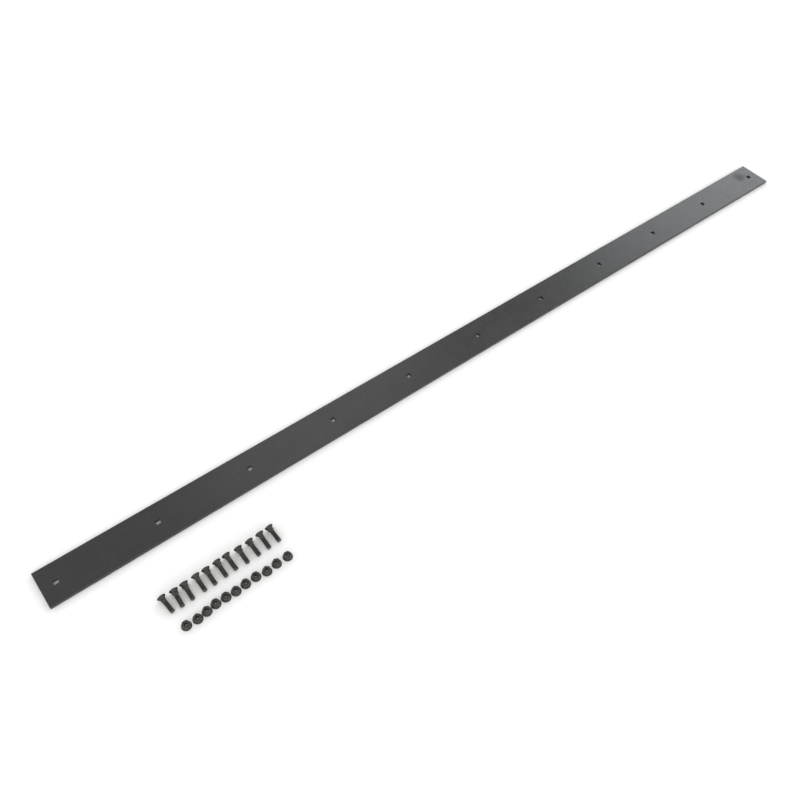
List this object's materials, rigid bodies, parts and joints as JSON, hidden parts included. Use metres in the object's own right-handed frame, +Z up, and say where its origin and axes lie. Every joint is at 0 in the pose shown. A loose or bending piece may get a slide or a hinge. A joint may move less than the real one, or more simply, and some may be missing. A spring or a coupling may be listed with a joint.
{
  "type": "plow blade wear bar kit",
  "caption": "Flat steel wear bar for an ATV plow blade with a middle row of square holes, laid out with its countersunk plow bolts and hex flange nuts.",
  "frame": {"origin": "where the middle bolt hole's axis leaves the bar's lower face, on the floor that the kit lies on", "axes": "+X along the bar, from the end that the bolts and nuts lie beside to the far end; +Y across the bar, away from the bolts and nuts; +Z up, out of the bar's back face"},
  "size_m": [1.8288, 0.2288, 0.0152],
  "materials": {
    "bar_coat": "satin charcoal coat on rolled steel flat bar",
    "bolt_finish": "dark phosphate and oil on steel",
    "nut_finish": "dark phosphate and oil on steel"
  },
  "bodies": {
    "bar": {"wear_bar": "bar_coat"},
    "bolt_01": {"plow_bolt_01": "bolt_finish"},
    "bolt_02": {"plow_bolt_02": "bolt_finish"},
    "bolt_03": {"plow_bolt_03": "bolt_finish"},
    "bolt_04": {"plow_bolt_04": "bolt_finish"},
    "bolt_05": {"plow_bolt_05": "bolt_finish"},
    "bolt_06": {"plow_bolt_06": "bolt_finish"},
    "bolt_07": {"plow_bolt_07": "bolt_finish"},
    "bolt_08": {"plow_bolt_08": "bolt_finish"},
    "bolt_09": {"plow_bolt_09": "bolt_finish"},
    "bolt_10": {"plow_bolt_10": "bolt_finish"},
    "bolt_11": {"plow_bolt_11": "bolt_finish"},
    "nut_01": {"flange_nut_01": "nut_finish"},
    "nut_02": {"flange_nut_02": "nut_finish"},
    "nut_03": {"flange_nut_03": "nut_finish"},
    "nut_04": {"flange_nut_04": "nut_finish"},
    "nut_05": {"flange_nut_05": "nut_finish"},
    "nut_06": {"flange_nut_06": "nut_finish"},
    "nut_07": {"flange_nut_07": "nut_finish"},
    "nut_08": {"flange_nut_08": "nut_finish"},
    "nut_09": {"flange_nut_09": "nut_finish"},
    "nut_10": {"flange_nut_10": "nut_finish"},
    "nut_11": {"flange_nut_11": "nut_finish"}
  },
  "joints": [
    {"name": "bolt_01_lift", "type": "slide", "parent": "bar", "child": "bolt_01", "axis": [0, 0, 1], "range_m": [0, 0.1]},
    {"name": "bolt_02_lift", "type": "slide", "parent": "bar", "child": "bolt_02", "axis": [0, 0, 1], "range_m": [0, 0.1]},
    {"name": "bolt_03_lift", "type": "slide", "parent": "bar", "child": "bolt_03", "axis": [0, 0, 1], "range_m": [0, 0.1]},
    {"name": "bolt_04_lift", "type": "slide", "parent": "bar", "child": "bolt_04", "axis": [0, 0, 1], "range_m": [0, 0.1]},
    {"name": "bolt_05_lift", "type": "slide", "parent": "bar", "child": "bolt_05", "axis": [0, 0, 1], "range_m": [0, 0.1]},
    {"name": "bolt_06_lift", "type": "slide", "parent": "bar", "child": "bolt_06", "axis": [0, 0, 1], "range_m": [0, 0.1]},
    {"name": "bolt_07_lift", "type": "slide", "parent": "bar", "child": "bolt_07", "axis": [0, 0, 1], "range_m": [0, 0.1]},
    {"name": "bolt_08_lift", "type": "slide", "parent": "bar", "child": "bolt_08", "axis": [0, 0, 1], "range_m": [0, 0.1]},
    {"name": "bolt_09_lift", "type": "slide", "parent": "bar", "child": "bolt_09", "axis": [0, 0, 1], "range_m": [0, 0.1]},
    {"name": "bolt_10_lift", "type": "slide", "parent": "bar", "child": "bolt_10", "axis": [0, 0, 1], "range_m": [0, 0.1]},
    {"name": "bolt_11_lift", "type": "slide", "parent": "bar", "child": "bolt_11", "axis": [0, 0, 1], "range_m": [0, 0.1]},
    {"name": "nut_01_lift", "type": "slide", "parent": "bar", "child": "nut_01", "axis": [0, 0, 1], "range_m": [0, 0.1]},
    {"name": "nut_02_lift", "type": "slide", "parent": "bar", "child": "nut_02", "axis": [0, 0, 1], "range_m": [0, 0.1]},
    {"name": "nut_03_lift", "type": "slide", "parent": "bar", "child": "nut_03", "axis": [0, 0, 1], "range_m": [0, 0.1]},
    {"name": "nut_04_lift", "type": "slide", "parent": "bar", "child": "nut_04", "axis": [0, 0, 1], "range_m": [0, 0.1]},
    {"name": "nut_05_lift", "type": "slide", "parent": "bar", "child": "nut_05", "axis": [0, 0, 1], "range_m": [0, 0.1]},
    {"name": "nut_06_lift", "type": "slide", "parent": "bar", "child": "nut_06", "axis": [0, 0, 1], "range_m": [0, 0.1]},
    {"name": "nut_07_lift", "type": "slide", "parent": "bar", "child": "nut_07", "axis": [0, 0, 1], "range_m": [0, 0.1]},
    {"name": "nut_08_lift", "type": "slide", "parent": "bar", "child": "nut_08", "axis": [0, 0, 1], "range_m": [0, 0.1]},
    {"name": "nut_09_lift", "type": "slide", "parent": "bar", "child": "nut_09", "axis": [0, 0, 1], "range_m": [0, 0.1]},
    {"name": "nut_10_lift", "type": "slide", "parent": "bar", "child": "nut_10", "axis": [0, 0, 1], "range_m": [0, 0.1]},
    {"name": "nut_11_lift", "type": "slide", "parent": "bar", "child": "nut_11", "axis": [0, 0, 1], "range_m": [0, 0.1]}
  ]
}
